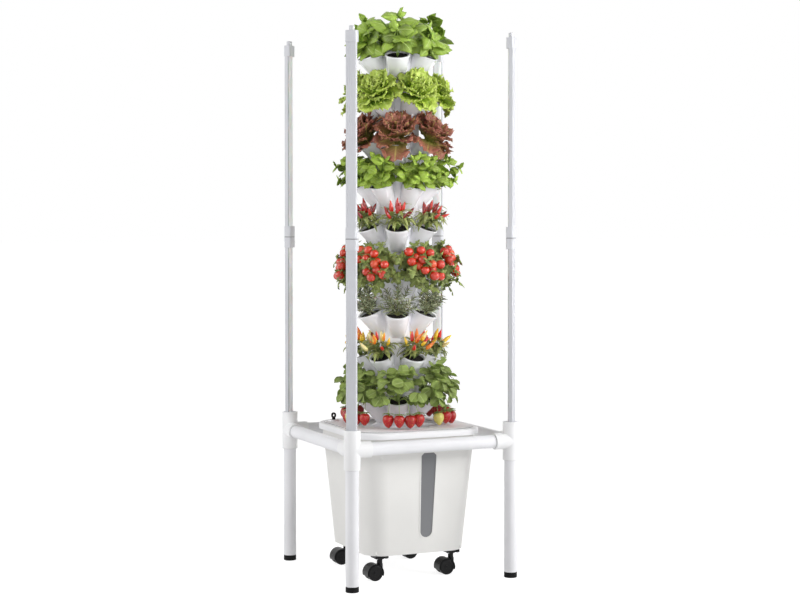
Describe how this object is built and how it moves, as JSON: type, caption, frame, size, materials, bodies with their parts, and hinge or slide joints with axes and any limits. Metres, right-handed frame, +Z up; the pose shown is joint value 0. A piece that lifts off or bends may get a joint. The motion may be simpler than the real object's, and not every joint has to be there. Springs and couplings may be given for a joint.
{
  "type": "hydroponic tower",
  "caption": "Hydroponic tower garden: stacked white planter tiers with herbs, salads and fruit on a wheeled water tank, inside a pipe frame with light poles.",
  "frame": {"origin": "on the floor, at the middle of the four legs", "axes": "+Z up, -Y towards the side with the level window, +X to the right of it"},
  "size_m": [0.604, 0.604, 1.8442],
  "materials": {
    "white_pipe": "smooth extruded white PVC",
    "white_fitting": "moulded white PVC",
    "black_foot": "moulded black rubber",
    "light_channel": "white painted extrusion",
    "frosted_lens": "frosted diffuser",
    "led_board": "white circuit board with light emitters",
    "light_cap": "moulded white plastic",
    "white_tank": "moulded off-white plastic",
    "smoked_window": "smoked clear plastic",
    "white_lid": "moulded off-white plastic",
    "black_plastic": "moulded black plastic",
    "black_rubber": "moulded black rubber",
    "caster_tread": "moulded black nylon wheels",
    "steel_screw": "zinc plated",
    "grey_pipe": "extruded pipe",
    "rotor": "moulded plastic with a magnet",
    "white_planter": "glossy moulded white plastic",
    "dark_medium": "dark granular growing medium",
    "basil_foliage": "glossy leaves",
    "green_lettuce_foliage": "frilled leaves",
    "red_lettuce_foliage": "frilled leaves",
    "mint_foliage": "small toothed leaves",
    "red_chilli_foliage": "narrow leaves and red pods",
    "cherry_tomato_foliage": "compound leaves and red fruit",
    "rosemary_foliage": "needle leaves",
    "mixed_chilli_foliage": "narrow leaves and pods",
    "strawberry_foliage": "three-part leaves and red fruit"
  },
  "bodies": {
    "light_frame": {"leg_front_left": "white_pipe", "leg_front_right": "white_pipe", "leg_rear_right": "white_pipe", "leg_rear_left": "white_pipe", "rail_front": "white_pipe", "rail_right": "white_pipe", "rail_rear": "white_pipe", "rail_left": "white_pipe", "corner_tee_front_left": "white_fitting", "corner_tee_front_right": "white_fitting", "corner_tee_rear_right": "white_fitting", "corner_tee_rear_left": "white_fitting", "foot_caps": "black_foot", "lower_light_bodies": "light_channel", "upper_light_bodies": "light_channel", "light_lenses": "frosted_lens", "led_strips": "led_board", "light_end_fittings": "light_cap", "light_top_caps": "light_cap"},
    "tank": {"tank_tub": "white_tank", "level_window": "smoked_window", "pump_body": "black_plastic", "pump_cover": "black_plastic", "riser_pipe": "grey_pipe", "caster_plates": "black_plastic", "caster_screws": "steel_screw"},
    "lid": {"tank_lid": "white_lid", "cable_grommet": "black_rubber"},
    "filler": {"filler_plug": "white_lid", "filler_pull_loop": "black_plastic"},
    "tower": {"base_collar": "white_planter", "tier_1": "white_planter", "tier_2": "white_planter", "tier_3": "white_planter", "tier_4": "white_planter", "tier_5": "white_planter", "tier_6": "white_planter", "tier_7": "white_planter", "tier_8": "white_planter", "tier_9": "white_planter", "tower_cap": "white_planter", "growing_medium": "dark_medium", "basil_plants": "basil_foliage", "green_lettuce_plants": "green_lettuce_foliage", "red_lettuce_plants": "red_lettuce_foliage", "mint_plants": "mint_foliage", "red_chilli_plants": "red_chilli_foliage", "cherry_tomato_plants": "cherry_tomato_foliage", "rosemary_plants": "rosemary_foliage", "mixed_chilli_plants": "mixed_chilli_foliage", "strawberry_plants": "strawberry_foliage"},
    "impeller": {"pump_impeller": "rotor"},
    "caster_front_left": {"caster_hood_front_left": "black_plastic"},
    "caster_front_left_wheels": {"caster_wheels_front_left": "caster_tread"},
    "caster_front_right": {"caster_hood_front_right": "black_plastic"},
    "caster_front_right_wheels": {"caster_wheels_front_right": "caster_tread"},
    "caster_rear_right": {"caster_hood_rear_right": "black_plastic"},
    "caster_rear_right_wheels": {"caster_wheels_rear_right": "caster_tread"},
    "caster_rear_left": {"caster_hood_rear_left": "black_plastic"},
    "caster_rear_left_wheels": {"caster_wheels_rear_left": "caster_tread"}
  },
  "joints": [
    {"name": "tank_roll", "type": "slide", "parent": "light_frame", "child": "tank", "axis": [1, 0, 0], "range_m": [-0.03, 0.03]},
    {"name": "lid_lift", "type": "slide", "parent": "tank", "child": "lid", "axis": [0, 0, 1], "range_m": [0, 0.06]},
    {"name": "filler_pull", "type": "slide", "parent": "lid", "child": "filler", "axis": [0, 0, 1], "range_m": [0, 0.045]},
    {"name": "tower_turn", "type": "hinge", "parent": "lid", "child": "tower", "pos_m": [0, 0, 0.4735], "axis": [0, 0, 1], "continuous": true},
    {"name": "impeller_spin", "type": "hinge", "parent": "tank", "child": "impeller", "pos_m": [0, 0, 0.119], "axis": [0, 1, 0], "continuous": true},
    {"name": "caster_front_left_swivel", "type": "hinge", "parent": "tank", "child": "caster_front_left", "pos_m": [-0.126, -0.142, 0.07], "axis": [0, 0, 1], "continuous": true},
    {"name": "caster_front_left_roll", "type": "hinge", "parent": "caster_front_left", "child": "caster_front_left_wheels", "pos_m": [-0.148, -0.142, 0.025], "axis": [0, 1, 0], "continuous": true},
    {"name": "caster_front_right_swivel", "type": "hinge", "parent": "tank", "child": "caster_front_right", "pos_m": [0.126, -0.142, 0.07], "axis": [0, 0, 1], "continuous": true},
    {"name": "caster_front_right_roll", "type": "hinge", "parent": "caster_front_right", "child": "caster_front_right_wheels", "pos_m": [0.104, -0.142, 0.025], "axis": [0, 1, 0], "continuous": true},
    {"name": "caster_rear_right_swivel", "type": "hinge", "parent": "tank", "child": "caster_rear_right", "pos_m": [0.126, 0.142, 0.07], "axis": [0, 0, 1], "continuous": true},
    {"name": "caster_rear_right_roll", "type": "hinge", "parent": "caster_rear_right", "child": "caster_rear_right_wheels", "pos_m": [0.104, 0.142, 0.025], "axis": [0, 1, 0], "continuous": true},
    {"name": "caster_rear_left_swivel", "type": "hinge", "parent": "tank", "child": "caster_rear_left", "pos_m": [-0.126, 0.142, 0.07], "axis": [0, 0, 1], "continuous": true},
    {"name": "caster_rear_left_roll", "type": "hinge", "parent": "caster_rear_left", "child": "caster_rear_left_wheels", "pos_m": [-0.148, 0.142, 0.025], "axis": [0, 1, 0], "continuous": true}
  ]
}
